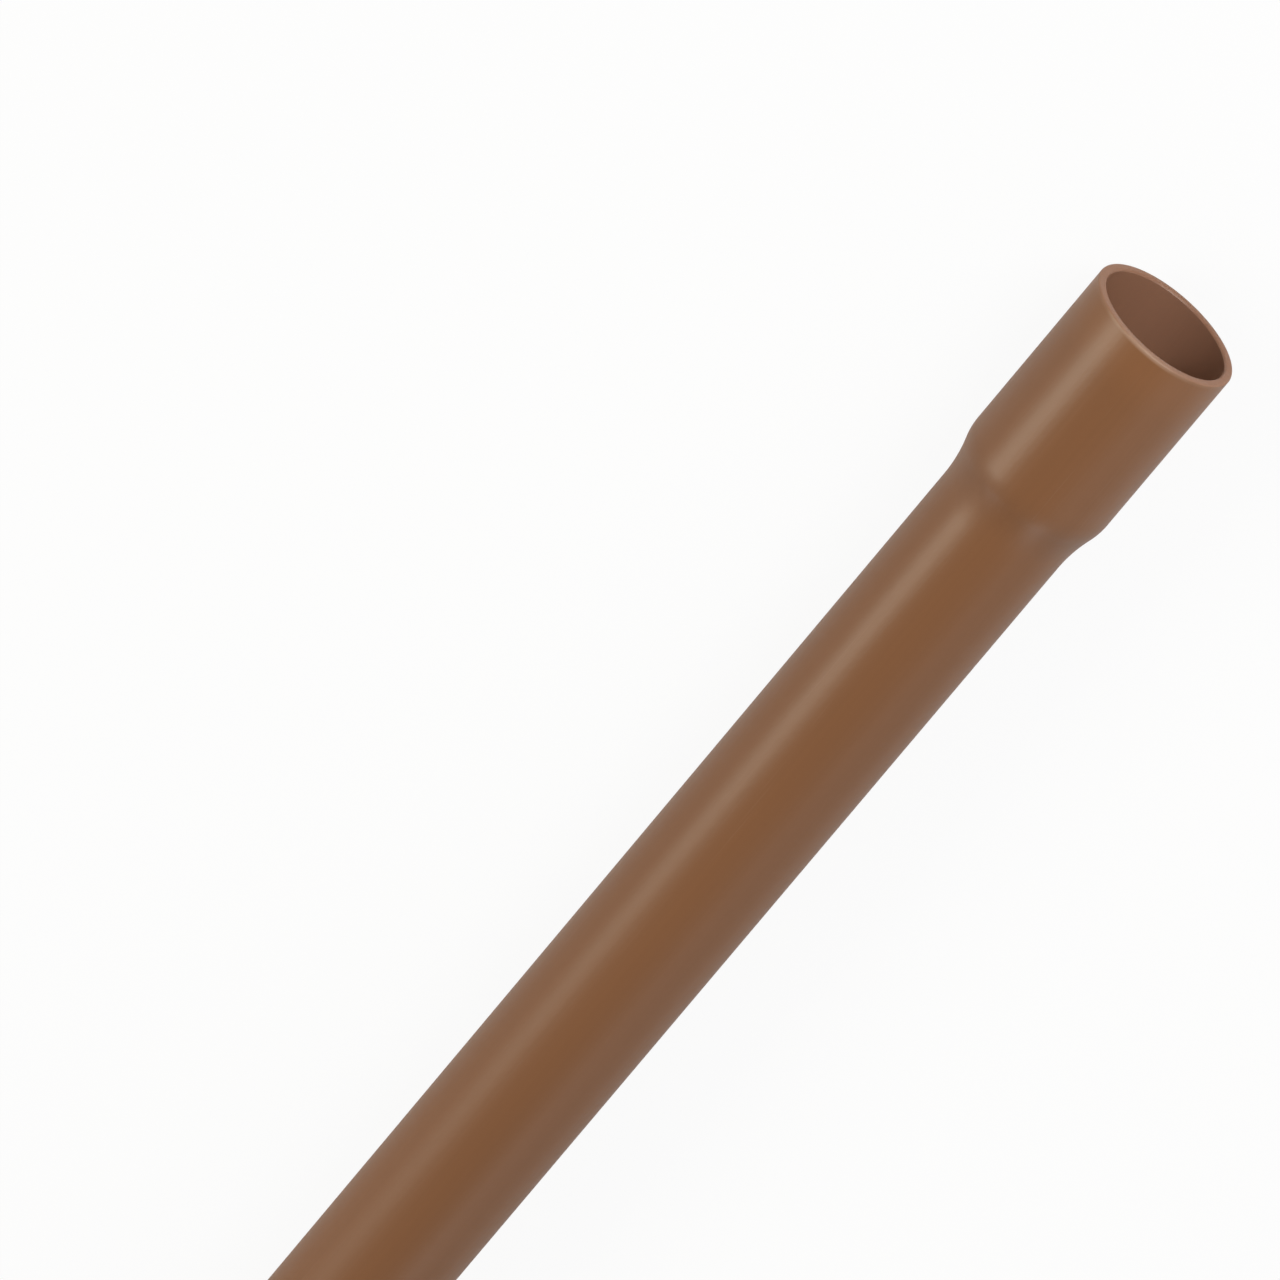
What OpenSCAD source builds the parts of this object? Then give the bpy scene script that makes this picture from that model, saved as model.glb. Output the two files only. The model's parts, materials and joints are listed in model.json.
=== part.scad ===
// Straight PVC pressure pipe with a plain spigot end and a formed solvent-weld socket.
// It lies on its side along X, with the socket's mouth towards +X.
// The origin is on the floor, below the middle of the pipe's length.

/* [Barrel] */
// Outside diameter of the barrel
pipe_od = 25; // [20:0.5:40]
// Wall thickness of the barrel
wall = 1.7; // [1.2:0.1:2.6]
// Length from the spigot end to the socket's mouth
pipe_length = 3000; // [500:100:6000]

/* [Socket] */
// Straight depth of the socket, from its mouth to the neck
socket_depth = 35; // [20:1:60]
// Wall thickness of the socket
socket_wall = 1.65; // [1.2:0.05:2.6]
// Gap all round, between the socket and the spigot that is cemented into it
cement_gap = 0.05; // [0:0.05:0.3]

/* [Neck] */
// Length of the neck for each millimetre that it widens
neck_run = 7; // [6:0.5:10]
// Outside radius of the rounded shoulder where the neck meets the socket
shoulder_r = 12.5; // [6:0.5:16]

/* [Ends] */
// Radius of the mouth's outer edge
mouth_round = 0.35; // [0.1:0.05:0.5]
// Width of the deburred chamfer on the mouth's inner edge
mouth_chamfer = 0.3; // [0.1:0.05:0.5]
// Depth of the lead-in chamfer round the spigot end
spigot_chamfer = 0.6; // [0.2:0.1:0.9]
// Length of the lead-in chamfer along the spigot
spigot_chamfer_length = 1.6; // [0.5:0.1:4]

/* [Hidden] */
$fn = 96;
pvc_brown = [0.51, 0.345, 0.225];

// How far a section runs past the edge that trims it
overrun = 1;

// Radii of the section
barrel_r = pipe_od / 2;
bore_r = barrel_r - wall;
socket_bore_r = barrel_r + cement_gap;
socket_r = socket_bore_r + socket_wall;

// The shoulder inside the socket shares its centre with the one outside
bore_shoulder_r = shoulder_r - socket_wall;

// Stations along the axis, measured from the end of the neck towards the mouth
spigot_end = socket_depth - pipe_length;
neck_start = -neck_run * (socket_r - barrel_r);
bore_neck_start = -neck_run * (socket_bore_r - bore_r);

// Slope of the neck where its two arcs meet
neck_slope = 2 * atan(1 / neck_run);

// Section under the neck's curve, from r_low to r_high: a hollow arc and then a rounded one.
// The chords of both arcs are drawn first, the hollow is cut from them and the shoulder added.
module neck_section(start, r_low, r_high, round_r) {
    hollow_r = (r_high - r_low) / (1 - cos(neck_slope)) - round_r;
    turn_r = r_high - round_r * (1 - cos(neck_slope));
    turn = -round_r * sin(neck_slope);

    difference() {
        polygon([[0, start], [r_low, start], [turn_r, turn], [r_high, 0], [0, 0]]);
        translate([r_low + hollow_r, start]) circle(hollow_r);
    }
    intersection() {
        translate([0, turn]) square([r_high + overrun, -turn]);
        translate([r_high - round_r, 0]) circle(round_r);
    }
}

// Section of the outside, filled in to the axis
module outer_section() {
    polygon([
        [0, spigot_end],
        [barrel_r - spigot_chamfer, spigot_end],
        [barrel_r, spigot_end + spigot_chamfer_length],
        [barrel_r, neck_start],
        [0, neck_start]
    ]);
    neck_section(neck_start, barrel_r, socket_r, shoulder_r);
    square([socket_r, socket_depth - mouth_round]);
    square([socket_r - mouth_round, socket_depth]);
    translate([socket_r - mouth_round, socket_depth - mouth_round]) circle(mouth_round);
}

// Section of the waterway and of the socket's bore, open past both ends
module bore_section() {
    polygon([
        [0, spigot_end - overrun],
        [bore_r, spigot_end - overrun],
        [bore_r, bore_neck_start],
        [0, bore_neck_start]
    ]);
    neck_section(bore_neck_start, bore_r, socket_bore_r, bore_shoulder_r);
    polygon([
        [0, 0],
        [socket_bore_r, 0],
        [socket_bore_r, socket_depth - mouth_chamfer],
        [socket_bore_r + mouth_chamfer + overrun, socket_depth + overrun],
        [0, socket_depth + overrun]
    ]);
}

// The pipe as it lies, with its socket on the floor
module pipe() {
    color(pvc_brown)
        translate([pipe_length / 2 - socket_depth, 0, socket_r])
            rotate([0, 90, 0])
                rotate_extrude()
                    difference() {
                        outer_section();
                        bore_section();
                    }
}

pipe();
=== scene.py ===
import json
import math
import bpy
import bmesh
from mathutils import Matrix, Vector


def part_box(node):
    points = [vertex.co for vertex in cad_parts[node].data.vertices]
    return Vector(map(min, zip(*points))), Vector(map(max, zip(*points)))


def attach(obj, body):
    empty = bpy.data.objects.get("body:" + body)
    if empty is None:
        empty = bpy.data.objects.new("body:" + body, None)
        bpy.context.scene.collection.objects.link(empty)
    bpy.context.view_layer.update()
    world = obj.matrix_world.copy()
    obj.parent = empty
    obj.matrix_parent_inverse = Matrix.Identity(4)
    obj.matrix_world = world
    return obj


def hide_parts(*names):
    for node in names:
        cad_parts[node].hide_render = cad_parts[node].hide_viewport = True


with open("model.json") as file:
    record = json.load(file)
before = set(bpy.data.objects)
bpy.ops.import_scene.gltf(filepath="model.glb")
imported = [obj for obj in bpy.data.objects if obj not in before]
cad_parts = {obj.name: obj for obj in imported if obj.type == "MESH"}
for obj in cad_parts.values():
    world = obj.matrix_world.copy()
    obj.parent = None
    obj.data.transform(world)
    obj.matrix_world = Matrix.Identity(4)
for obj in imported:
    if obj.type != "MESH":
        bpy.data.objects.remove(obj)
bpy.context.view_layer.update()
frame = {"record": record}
mounts = {mount["name"]: mount for mount in frame["record"]["mounts"]}
print("frame loaded")


# the pipe: one wall section, turned round the axis

pipe = {
    "neckRun": 7.0,                   # length of the neck for each millimetre that it widens
    "shoulderRadius": 0.0125,
    "mouthRound": 0.00035,
    "mouthChamfer": 0.0003,
    "mouthSkew": 0.029,               # the mouth was sawn slightly out of square
    "skewReach": 0.0007,              # length of the mouth that follows that cut
    "spigotChamfer": 0.0006,
    "spigotChamferLength": 0.0016,
    "edgeSoftening": 0.00007,
    "softSteps": 2,
    "crispFrom": 18.0,                # degrees; edges sharper than this are softened
    "cutFacing": 0.6,                 # faces turned further to the axis belong to the sawn ends
    "turnSteps": 192,
    "neckSteps": 14,
    "mouthSteps": 6,
    "longRun": 1.0,                   # straight runs longer than this are divided
    "runCuts": 59,
    "mergeWithin": 1e-7,
}
mmPerMetre = 1000.0


def lineTo(bm, vert, x, r):
    new = bmesh.ops.extrude_vert_indiv(bm, verts=[vert])["verts"][0]
    new.co = (x, 0.0, r)
    return new


def arcTo(bm, vert, x, r, turn, steps):
    swept = bmesh.ops.spin(bm, geom=[vert], cent=(x, 0.0, r), axis=(0.0, 1.0, 0.0),
                           angle=turn, steps=steps)
    return next(item for item in swept["geom_last"] if isinstance(item, bmesh.types.BMVert))


def measurePipe():
    low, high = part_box("pipe")
    radius = {name: mounts[name]["dims"]["r_mm"] / mmPerMetre for name in ("spigot", "waterway", "socket")}
    socketDepth = mounts["socket"]["dims"]["length_mm"] / mmPerMetre
    return {
        "spigotEnd": low.x - high.x,  # stations run back from the mouth
        "neckEnd": -socketDepth - pipe["mouthChamfer"],
        "barrel": radius["spigot"],
        "bore": radius["waterway"],
        "socket": (high.z - low.z) / 2.0,
        "socketBore": radius["socket"],
        "mouth": Vector((high.x, 0.0, (low.z + high.z) / 2.0)),
    }


def drawWall(bm, size):
    # each neck is a heel and a shoulder arc that meet at this slope
    slope = 2.0 * math.atan(1.0 / pipe["neckRun"])
    flare = size["socket"] - size["barrel"]
    boreFlare = size["socketBore"] - size["bore"]
    shoulder = pipe["shoulderRadius"]
    boreShoulder = shoulder - (size["socket"] - size["socketBore"])
    heel = flare / (1.0 - math.cos(slope)) - shoulder
    boreHeel = boreFlare / (1.0 - math.cos(slope)) - boreShoulder
    neckStart = size["neckEnd"] - pipe["neckRun"] * flare
    boreNeckStart = size["neckEnd"] - pipe["neckRun"] * boreFlare
    rounding = pipe["mouthRound"]
    steps = pipe["neckSteps"]

    # along the outside, from the spigot to the mouth
    vert = bm.verts.new((size["spigotEnd"], 0.0, size["bore"]))
    vert = lineTo(bm, vert, size["spigotEnd"], size["barrel"] - pipe["spigotChamfer"])
    vert = lineTo(bm, vert, size["spigotEnd"] + pipe["spigotChamferLength"], size["barrel"])
    vert = lineTo(bm, vert, neckStart, size["barrel"])
    vert = arcTo(bm, vert, neckStart, size["barrel"] + heel, -slope, steps)
    vert = arcTo(bm, vert, size["neckEnd"], size["socket"] - shoulder, slope, steps)
    vert = lineTo(bm, vert, -rounding, size["socket"])
    vert = arcTo(bm, vert, -rounding, size["socket"] - rounding, math.pi / 2.0, pipe["mouthSteps"])

    # and back through the bore
    vert = lineTo(bm, vert, 0.0, size["socketBore"] + pipe["mouthChamfer"])
    vert = lineTo(bm, vert, -pipe["mouthChamfer"], size["socketBore"])
    vert = lineTo(bm, vert, size["neckEnd"], size["socketBore"])
    vert = arcTo(bm, vert, size["neckEnd"], size["socketBore"] - boreShoulder, -slope, steps)
    vert = arcTo(bm, vert, boreNeckStart, size["bore"] + boreHeel, slope, steps)
    lineTo(bm, vert, size["spigotEnd"], size["bore"])
    bmesh.ops.remove_doubles(bm, verts=bm.verts, dist=pipe["mergeWithin"])
    longRuns = [edge for edge in bm.edges if edge.calc_length() > pipe["longRun"]]
    bmesh.ops.subdivide_edges(bm, edges=longRuns, cuts=pipe["runCuts"])


def skewMouth(bm):
    mouthVerts = [vert for vert in bm.verts if vert.co.x > -pipe["skewReach"]]
    outOfSquare = Matrix.Identity(4)
    outOfSquare[0][1] = pipe["mouthSkew"]
    bmesh.ops.transform(bm, matrix=outOfSquare, verts=mouthVerts)


def sortFaces(bm, slots):
    bm.normal_update()
    for face in bm.faces:
        face.smooth = True
        outward = face.calc_center_median()
        outward.x = 0.0
        if abs(face.normal.x) > pipe["cutFacing"]:
            face.material_index = slots.index("sawn")
        elif face.normal.dot(outward) < 0.0:
            face.material_index = slots.index("bore")


def makePipe(size, plastics):
    bm = bmesh.new()
    drawWall(bm, size)
    bmesh.ops.spin(bm, geom=bm.verts[:] + bm.edges[:], cent=(0.0, 0.0, 0.0), axis=(1.0, 0.0, 0.0),
                   angle=2.0 * math.pi, steps=pipe["turnSteps"], use_merge=True)
    bmesh.ops.remove_doubles(bm, verts=bm.verts, dist=pipe["mergeWithin"])
    bmesh.ops.recalc_face_normals(bm, faces=bm.faces)
    crisp = [edge for edge in bm.edges if edge.calc_face_angle() > math.radians(pipe["crispFrom"])]
    bmesh.ops.bevel(bm, geom=crisp, offset=pipe["edgeSoftening"], offset_type="OFFSET", affect="EDGES",
                    segments=pipe["softSteps"], profile=0.5, material=-1)
    skewMouth(bm)
    sortFaces(bm, list(plastics))
    bmesh.ops.translate(bm, verts=bm.verts, vec=size["mouth"])
    mesh = bpy.data.meshes.new("socketedPipe")
    bm.to_mesh(mesh)
    bm.free()
    for material in plastics.values():
        mesh.materials.append(material)
    piece = bpy.data.objects.new("socketedPipe", mesh)
    bpy.context.scene.collection.objects.link(piece)
    evenShading = piece.modifiers.new("evenShading", "WEIGHTED_NORMAL")
    evenShading.keep_sharp = True
    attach(piece, "root")
    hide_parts("pipe")
    return piece


# brown plastic: wall, sawn ends and bore share the marks of the extrusion die, wear, and painted light and
# shade

finishes = {
    "wall": {"Colour": (0.199, 0.079, 0.025, 1.0), "Roughness": 0.38, "Streaks": 1.0,
             "Scuffs": 0.4, "Wear And Painted Light": 1.0, "Saw Marks": 0.0},
    "sawn": {"Colour": (0.262, 0.118, 0.062, 1.0), "Roughness": 0.46, "Streaks": 0.0,
             "Scuffs": 0.0, "Wear And Painted Light": 0.6, "Saw Marks": 1.0},
    "bore": {"Colour": (0.285, 0.142, 0.085, 1.0), "Roughness": 0.36, "Streaks": 0.8,
             "Scuffs": 0.0, "Wear And Painted Light": 0.4, "Saw Marks": 0.0},
}

skin = {
    "bumpDepth": {"wall": 0.00002, "sawn": 0.00004, "bore": 0.00002},
    "ior": 1.5,
    "wearAndSheen": (0.42, 0.27, 0.185, 1.0),   # pale colour of scuffs and worn ends, also the painted highlight on the rims' edges
    "wearAndSheenReach": 0.0009,                # how far from each end the wear and painted highlight reach
    "rimDepth": 0.0009,                   # how far in from the outer edge the wear and painted highlight fade
    "rimInnerShare": 0.3,                       # share of it that is left there
    "sideShare": 0.3,                      # share of it at the sides of the ends
    "topFrom": 0.75,                      # shares of the socket's radius, up or down, over which it grows to the full wear and painted highlight
    "topFull": 0.98,                      # over which it grows to the full wear
    "wornRoughness": 0.15,
    "scuffPaleness": 0.25,
    "mouthLightReach": 0.01,                  # how far from the mouth the painted light reaches
    "mouthLightFull": 0.4,                    # share of that reach with the full lift
    "mouthPaintedLight": 0.08,
    "neckShadeBack": 0.0042,                   # painted shade across the neck is darkest this far behind its end
    "neckShadeReach": 0.0055,
    "neckPaintedShade": 0.08,
}

# each mark: its noise, the band of it that counts, and how much it does to shade, roughness and height
marks = {
    "cloud": {"noise": {"scale": (9.0, 60.0, 60.0), "detail": 3.0},          # uneven pigment
              "band": (0.3, 0.7, -1.0, 1.0), "shade": 0.025, "rough": 0.02},
    "streak": {"noise": {"scale": (2.5, 1500.0, 1500.0), "detail": 3.0, "spread": 0.6},   # lines of the die
               "band": (0.3, 0.7, -1.0, 1.0), "shade": 0.02, "rough": 0.015, "height": 0.15},
    "sawLine": {"noise": {"scale": (60.0, 160.0, 2400.0), "turn": (0.6, 0.0, 0.0)},
                "band": (0.3, 0.7, -1.0, 1.0), "shade": 0.06, "rough": 0.05, "height": 0.5},
    "scuff": {"noise": {"scale": (40.0, 2600.0, 2600.0), "turn": (0.0, 0.02, 0.05)},
              "band": (0.64, 0.72), "height": -0.5},
    "handled": {"noise": {"scale": (14.0, 90.0, 90.0)}, "band": (0.48, 0.66)},   # scuffs gather here
    "patch": {"noise": {"scale": (500.0, 260.0, 260.0), "detail": 3.0},      # uneven wear at the ends
              "band": (0.25, 0.6, 0.5, 1.0)},
    "ripple": {"noise": {"scale": (330.0, 330.0, 330.0)}},                   # slight waviness
}


def addNode(tree, kind, x, y, **settings):
    node = tree.nodes.new(kind)
    node.location = (x, y)
    for name, value in settings.items():
        setattr(node, name, value)
    return node


def join(tree, source, node, socket):
    tree.links.new(source, node.inputs[socket])


def addMath(tree, operation, x, y, *values):
    node = addNode(tree, "ShaderNodeMath", x, y, operation=operation)
    for index, value in enumerate(values):
        if isinstance(value, (int, float)):
            node.inputs[index].default_value = value
        else:
            tree.links.new(value, node.inputs[index])
    return node.outputs["Value"]


def addNoise(tree, x, y, scale, turn=(0.0, 0.0, 0.0), detail=2.0, spread=0.5):
    place = addNode(tree, "ShaderNodeTexCoord", x, y)
    mapping = addNode(tree, "ShaderNodeMapping", x + 180, y)
    mapping.inputs["Rotation"].default_value = turn
    mapping.inputs["Scale"].default_value = scale
    noise = addNode(tree, "ShaderNodeTexNoise", x + 360, y)
    noise.inputs["Scale"].default_value = 1.0
    noise.inputs["Detail"].default_value = detail
    noise.inputs["Roughness"].default_value = spread
    join(tree, place.outputs["Object"], mapping, "Vector")
    join(tree, mapping.outputs["Vector"], noise, "Vector")
    return noise.outputs["Fac"]


def addBand(tree, x, y, value, low, high, start=0.0, end=1.0):
    band = addNode(tree, "ShaderNodeMapRange", x, y)
    band.inputs["From Min"].default_value = low
    band.inputs["From Max"].default_value = high
    band.inputs["To Min"].default_value = start
    band.inputs["To Max"].default_value = end
    join(tree, value, band, "Value")
    return band.outputs["Result"]


def addMark(tree, y, name):
    noise = addNoise(tree, -1400, y, **marks[name]["noise"])
    return addBand(tree, -600, y, noise, *marks[name]["band"]) if "band" in marks[name] else noise


def addParts(tree, y, total, parts, use):
    for step, (name, part) in enumerate(parts.items()):
        if use in marks[name]:
            total = addMath(tree, "MULTIPLY_ADD", 200 * step, y, part, marks[name][use], total)
    return total


def addEndWearAndSheen(tree, y, station, end, reach, radius, outside):
    near = addBand(tree, -800, y, station, end - reach, end)
    rim = addBand(tree, -800, y - 250, radius, outside - skin["rimDepth"], outside, skin["rimInnerShare"], 1.0)
    return addMath(tree, "MULTIPLY", -600, y, near, rim)


def makeSkinSockets(tree):
    kinds = {"Colour": "NodeSocketColor"}
    for name in finishes["wall"]:
        tree.interface.new_socket(name, in_out="INPUT", socket_type=kinds.get(name, "NodeSocketFloat"))
    for name in ("Colour", "Roughness", "Height"):
        tree.interface.new_socket(name, in_out="OUTPUT", socket_type=kinds.get(name, "NodeSocketFloat"))


def makeExtrudedSkin(size):
    halfLength = -size["spigotEnd"] / 2.0
    axisHeight = size["mouth"].z
    tree = bpy.data.node_groups.new("extrudedSkin", "ShaderNodeTree")
    makeSkinSockets(tree)
    given = addNode(tree, "NodeGroupInput", -600, 900).outputs
    result = addNode(tree, "NodeGroupOutput", 1300, 0)

    streaks = addMark(tree, 600, "streak")
    sawLines = addMark(tree, -1400, "sawLine")
    scuffs = addMark(tree, -600, "scuff")
    scuffs = addMath(tree, "MULTIPLY", -400, -700, scuffs, addMark(tree, -1000, "handled"))
    parts = {
        "cloud": addMark(tree, 200, "cloud"),
        "streak": addMath(tree, "MULTIPLY", -400, 600, given["Streaks"], streaks),
        "sawLine": addMath(tree, "MULTIPLY", -400, -1400, given["Saw Marks"], sawLines),
        "scuff": addMath(tree, "MULTIPLY", -200, -700, given["Scuffs"], scuffs),
    }

    # places on the pipe: along it, along it in line with the mouth's cut, above the axis, out from it
    place = addNode(tree, "ShaderNodeTexCoord", -1600, -2200)
    axes = addNode(tree, "ShaderNodeSeparateXYZ", -1400, -2200)
    join(tree, place.outputs["Object"], axes, "Vector")
    along = axes.outputs["X"]
    across = axes.outputs["Y"]
    fromCut = addMath(tree, "MULTIPLY_ADD", -1200, -2200, across, -pipe["mouthSkew"], along)
    above = addMath(tree, "SUBTRACT", -1200, -3000, axes.outputs["Z"], axisHeight)
    radius = addMath(tree, "MULTIPLY", -1400, -2700, across, across)
    radius = addMath(tree, "MULTIPLY_ADD", -1200, -2700, above, above, radius)
    radius = addMath(tree, "SQRT", -1000, -2700, radius)

    # worn pale at both ends, in patches; fuller at the top and bottom, which is painted highlight on the
    # rims' edges
    reach = skin["wearAndSheenReach"]
    atMouth = addEndWearAndSheen(tree, -2200, fromCut, halfLength, reach, radius, size["socket"])
    atSpigot = addEndWearAndSheen(tree, -2700, along, -halfLength, -reach, radius, size["barrel"])
    nearEnd = addMath(tree, "MAXIMUM", -400, -2200, atMouth, atSpigot)
    # painted highlight on the rims' edges: the pale ends are full only at the top and bottom
    upOrDown = addMath(tree, "ABSOLUTE", -1000, -3200, above)
    highlightAtTopAndBottom = addBand(tree, -800, -3200, upOrDown, skin["topFrom"] * axisHeight,
                           skin["topFull"] * axisHeight, skin["sideShare"], 1.0)
    wearAndSheen = addMath(tree, "MULTIPLY", -400, -1800, addMark(tree, -1800, "patch"), highlightAtTopAndBottom)
    wearAndSheen = addMath(tree, "MULTIPLY", -200, -2000, nearEnd, wearAndSheen)
    wearAndSheen = addMath(tree, "MULTIPLY", 0, -2000, given["Wear And Painted Light"], wearAndSheen)
    wornAndHighlit = addMath(tree, "MULTIPLY_ADD", 400, 100, parts["scuff"], skin["scuffPaleness"], wearAndSheen)

    # painted light before the mouth, painted shade across the neck
    # painted light: the wall grows lighter over the last of the bell before the mouth
    paintedMouthLight = addBand(tree, -800, -3500, fromCut, halfLength - skin["mouthLightReach"],
                     halfLength - skin["mouthLightFull"] * skin["mouthLightReach"], 0.0, skin["mouthPaintedLight"])
    paintedMouthLight = addMath(tree, "MULTIPLY", -200, -3500, given["Wear And Painted Light"], paintedMouthLight)
    # painted shade: darker in a band across the neck
    neckShadeAt = halfLength + size["neckEnd"] - skin["neckShadeBack"]
    fromNeckShade = addMath(tree, "SUBTRACT", -1200, -3800, along, neckShadeAt)
    fromNeckShade = addMath(tree, "ABSOLUTE", -1000, -3800, fromNeckShade)
    paintedNeckShade = addBand(tree, -800, -3800, fromNeckShade, 0.0, skin["neckShadeReach"], -skin["neckPaintedShade"], 0.0)

    shade = addParts(tree, 300, 1.0, parts, "shade")
    shade = addMath(tree, "ADD", 600, 300, paintedMouthLight, shade)
    shade = addMath(tree, "ADD", 800, 300, paintedNeckShade, shade)
    tint = addNode(tree, "ShaderNodeVectorMath", 950, 300, operation="SCALE")
    join(tree, given["Colour"], tint, "Vector")
    join(tree, shade, tint, "Scale")
    # pale colour of wear, and painted highlight on the rims' edges
    pale = addNode(tree, "ShaderNodeMix", 1100, 300, data_type="RGBA")
    pale.inputs["B"].default_value = skin["wearAndSheen"]
    join(tree, wornAndHighlit, pale, "Factor")
    join(tree, tint.outputs["Vector"], pale, "A")
    join(tree, pale.outputs["Result"], result, "Colour")

    rough = addParts(tree, -100, given["Roughness"], parts, "rough")
    rough = addMath(tree, "MULTIPLY_ADD", 1000, -100, wornAndHighlit, skin["wornRoughness"], rough)
    join(tree, rough, result, "Roughness")
    height = addParts(tree, -400, addMark(tree, -200, "ripple"), parts, "height")
    join(tree, height, result, "Height")
    return tree


def makePlastic(name, extrudedSkin):
    material = bpy.data.materials.new(name + "Plastic")
    material.use_nodes = True
    tree = material.node_tree
    shader = tree.nodes["Principled BSDF"]
    shader.inputs["IOR"].default_value = skin["ior"]
    surface = addNode(tree, "ShaderNodeGroup", -500, 300, node_tree=extrudedSkin)
    for socket, value in finishes[name].items():
        surface.inputs[socket].default_value = value
    bump = addNode(tree, "ShaderNodeBump", -250, 0)
    bump.inputs["Distance"].default_value = skin["bumpDepth"][name]
    join(tree, surface.outputs["Colour"], shader, "Base Color")
    join(tree, surface.outputs["Roughness"], shader, "Roughness")
    join(tree, surface.outputs["Height"], bump, "Height")
    join(tree, bump.outputs["Normal"], shader, "Normal")
    return material


pipeSize = measurePipe()
extrudedSkin = makeExtrudedSkin(pipeSize)
plastics = {name: makePlastic(name, extrudedSkin) for name in finishes}
print("plastics made")

pipePiece = makePipe(pipeSize, plastics)
print("pipe turned,", len(pipePiece.data.polygons), "faces")


# studio: white floor, soft sky, soft boxes

studio = {
    "floorRadius": 90.0,
    "floorSides": 96,
    "floorColour": (0.75, 0.75, 0.75, 1.0),
    "whiteSeen": 0.92,                # share of plain white in the floor as the camera sees it
    "whiteMirrored": 0.12,            # and as reflections and clear pieces see it
    "skyColour": (1.0, 1.0, 1.0, 1.0),
    "skyLow": 0.87,                   # strength at the horizon
    "skyHigh": 0.49,
    "skyBend": 0.85,                  # height from which the sky stays at skyHigh
    "bandAt": -0.4,                   # the sky is brightest in a band across the pipe
    "bandHalf": 0.2,
    "bandFade": 0.6,
    "skyEnds": 0.28,                  # share of it left towards the pipe's two ends
}

# aim is the station along the pipe that a box faces; without a colour a box is white
softBoxes = {
    "keyBox": {"middle": (1.25, 0.608, 0.534), "aim": 1.25, "size": (0.5, 0.377), "power": 2.92,
               "colour": (0.975, 0.935, 0.775)},
    "frontBox": {"middle": (2.02, -0.23, 0.48), "aim": 1.48, "size": (0.4, 0.4), "power": 4.35},
    "rightBox": {"middle": (1.25, -0.866, 0.514), "aim": 1.25, "size": (0.7, 0.25), "power": 0.25},
    "barrelBox": {"middle": (-0.45, 0.383, 0.336), "aim": -0.45, "size": (2.4, 0.25), "power": 6.0},
    "sideBox": {"middle": (-0.35, -0.55, 0.35), "aim": -0.35, "size": (2.5, 0.25), "power": 4.1},
}


def makeFloor():
    material = bpy.data.materials.new("floorWhite")
    material.use_nodes = True
    tree = material.node_tree
    tree.nodes.remove(tree.nodes["Principled BSDF"])
    matt = addNode(tree, "ShaderNodeBsdfDiffuse", -200, 100)
    matt.inputs["Color"].default_value = studio["floorColour"]
    white = addNode(tree, "ShaderNodeEmission", -200, -50)
    rays = addNode(tree, "ShaderNodeLightPath", -1000, 300).outputs
    mirrored = addMath(tree, "ADD", -800, 200, rays["Is Glossy Ray"], rays["Is Transmission Ray"])
    mirrored = addMath(tree, "MULTIPLY", -600, 200, mirrored, studio["whiteMirrored"])
    share = addMath(tree, "MULTIPLY_ADD", -400, 300, rays["Is Camera Ray"], studio["whiteSeen"], mirrored)
    mix = addNode(tree, "ShaderNodeMixShader", 50, 100)
    join(tree, share, mix, "Fac")
    join(tree, matt.outputs["BSDF"], mix, 1)
    join(tree, white.outputs["Emission"], mix, 2)
    join(tree, mix.outputs["Shader"], tree.nodes["Material Output"], "Surface")

    bm = bmesh.new()
    bmesh.ops.create_circle(bm, cap_ends=True, segments=studio["floorSides"], radius=studio["floorRadius"])
    mesh = bpy.data.meshes.new("studioFloor")
    bm.to_mesh(mesh)
    bm.free()
    mesh.materials.append(material)
    floor = bpy.data.objects.new("studioFloor", mesh)
    bpy.context.scene.collection.objects.link(floor)


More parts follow.
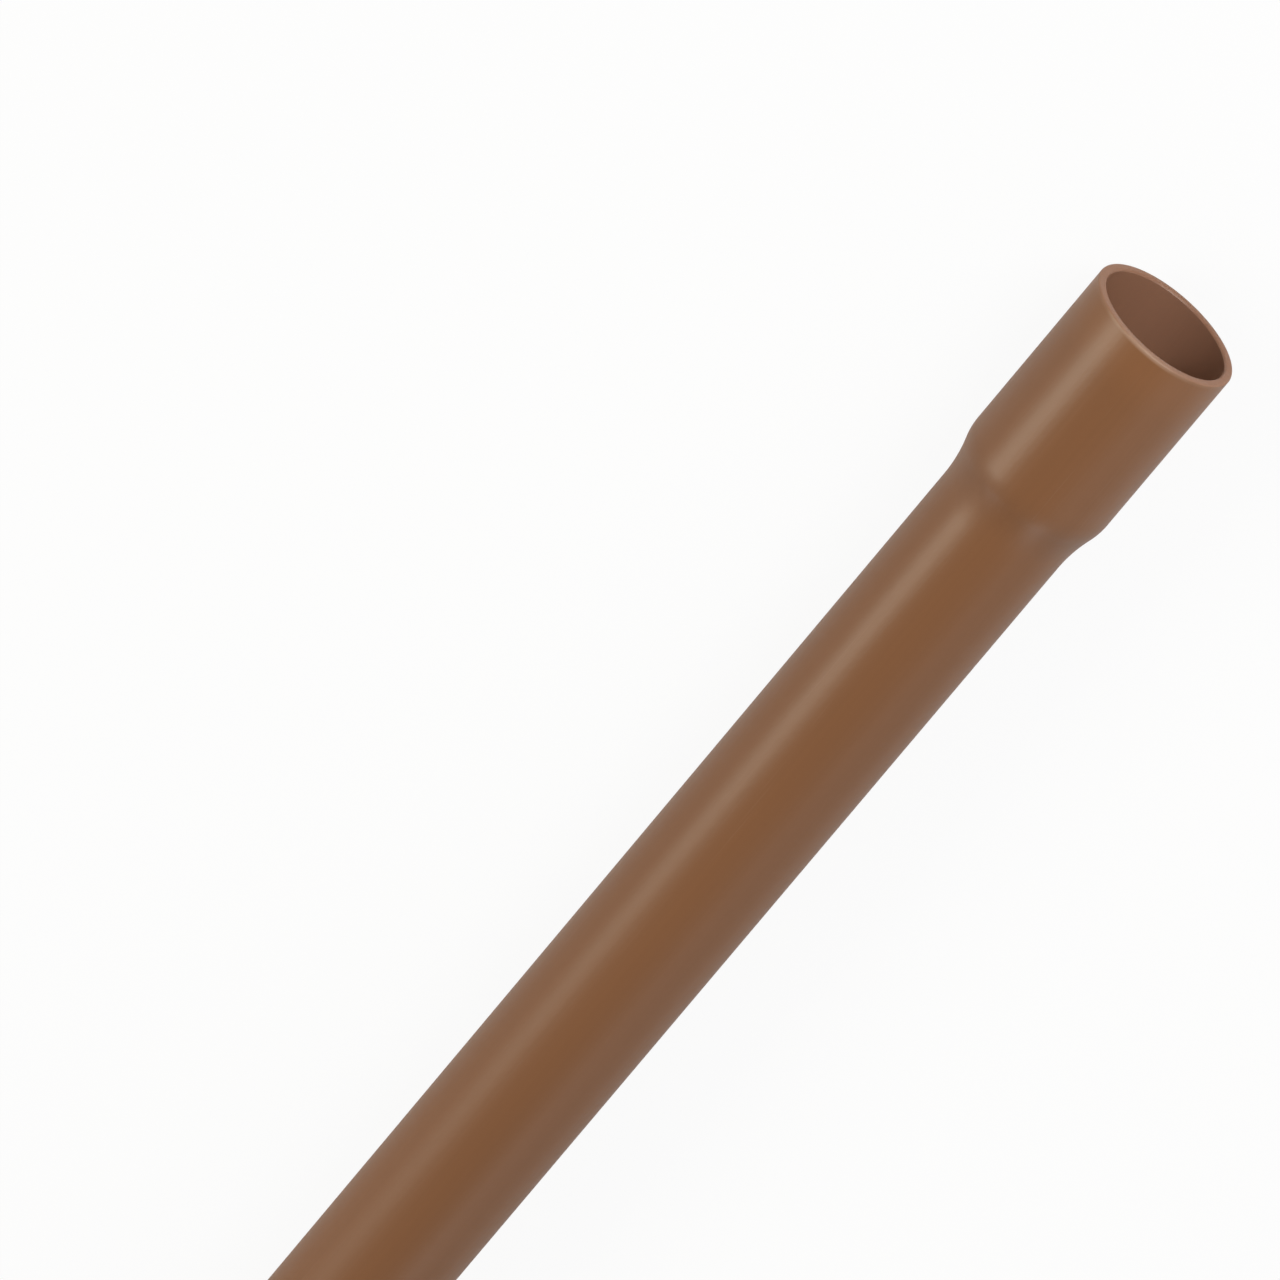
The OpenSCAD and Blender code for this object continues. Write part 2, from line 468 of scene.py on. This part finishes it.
def makeSky():
    world = bpy.data.worlds.new("studioSky")
    bpy.context.scene.world = world
    world.use_nodes = True
    tree = world.node_tree
    place = addNode(tree, "ShaderNodeTexCoord", -800, 0)
    axes = addNode(tree, "ShaderNodeSeparateXYZ", -600, 0)
    join(tree, place.outputs["Generated"], axes, "Vector")
    height = addBand(tree, -400, 100, axes.outputs["Z"], 0.0, studio["skyBend"],
                     studio["skyLow"], studio["skyHigh"])
    fromBand = addMath(tree, "SUBTRACT", -400, -200, axes.outputs["X"], studio["bandAt"])
    fromBand = addMath(tree, "ABSOLUTE", -200, -200, fromBand)
    dimming = addBand(tree, 0, -200, fromBand, studio["bandHalf"], studio["bandFade"],
                      1.0, studio["skyEnds"])
    strength = addMath(tree, "MULTIPLY", 200, 0, height, dimming)
    background = tree.nodes["Background"]
    background.inputs["Color"].default_value = studio["skyColour"]
    join(tree, strength, background, "Strength")


def makeSoftBox(name, box, axisHeight):
    lamp = bpy.data.lights.new(name, "AREA")
    lamp.shape = "RECTANGLE"
    lamp.size, lamp.size_y = box["size"]
    lamp.energy = box["power"]
    if "colour" in box:
        lamp.color = box["colour"]
    holder = bpy.data.objects.new(name, lamp)
    holder.location = box["middle"]
    facing = Vector((box["aim"], 0.0, axisHeight)) - Vector(box["middle"])
    holder.rotation_euler = facing.to_track_quat("-Z", "Y").to_euler()
    holder.visible_camera = False
    bpy.context.scene.collection.objects.link(holder)


makeFloor()
makeSky()
for boxName, box in softBoxes.items():
    makeSoftBox(boxName, box, pipeSize["mouth"].z)
print("studio lit")


# camera

view = {
    "lens": 496.7,
    "sensorWidth": 36.0,
    "elevation": 65.15,               # degrees above the floor
    "roll": 50.2,                     # degrees from the picture's width to the pipe's axis
    "depth": 2.959,
    "mouthRight": 0.029797,           # where the mouth is in the picture, for each metre of depth
    "mouthUp": 0.017862,
    "clipEnd": 200.0,
}


def makeCamera(mouth):
    tilt = math.radians(view["elevation"])
    roll = math.radians(view["roll"])
    back = Vector((math.cos(tilt), 0.0, math.sin(tilt)))
    along = Vector((math.sin(tilt), 0.0, -math.cos(tilt)))
    across = Vector((0.0, 1.0, 0.0))
    right = along * math.cos(roll) - across * math.sin(roll)
    up = along * math.sin(roll) + across * math.cos(roll)
    place = mouth - view["depth"] * (view["mouthRight"] * right + view["mouthUp"] * up - back)
    lens = bpy.data.cameras.new("photoCamera")
    lens.lens = view["lens"]
    lens.sensor_width = view["sensorWidth"]
    lens.clip_end = view["clipEnd"]
    camera = bpy.data.objects.new("photoCamera", lens)
    camera.matrix_world = Matrix.Translation(place) @ Matrix((right, up, back)).transposed().to_4x4()
    bpy.context.scene.collection.objects.link(camera)
    bpy.context.scene.camera = camera


makeCamera(pipeSize["mouth"])
bpy.context.scene.view_settings.view_transform = "Standard"
print("camera set")
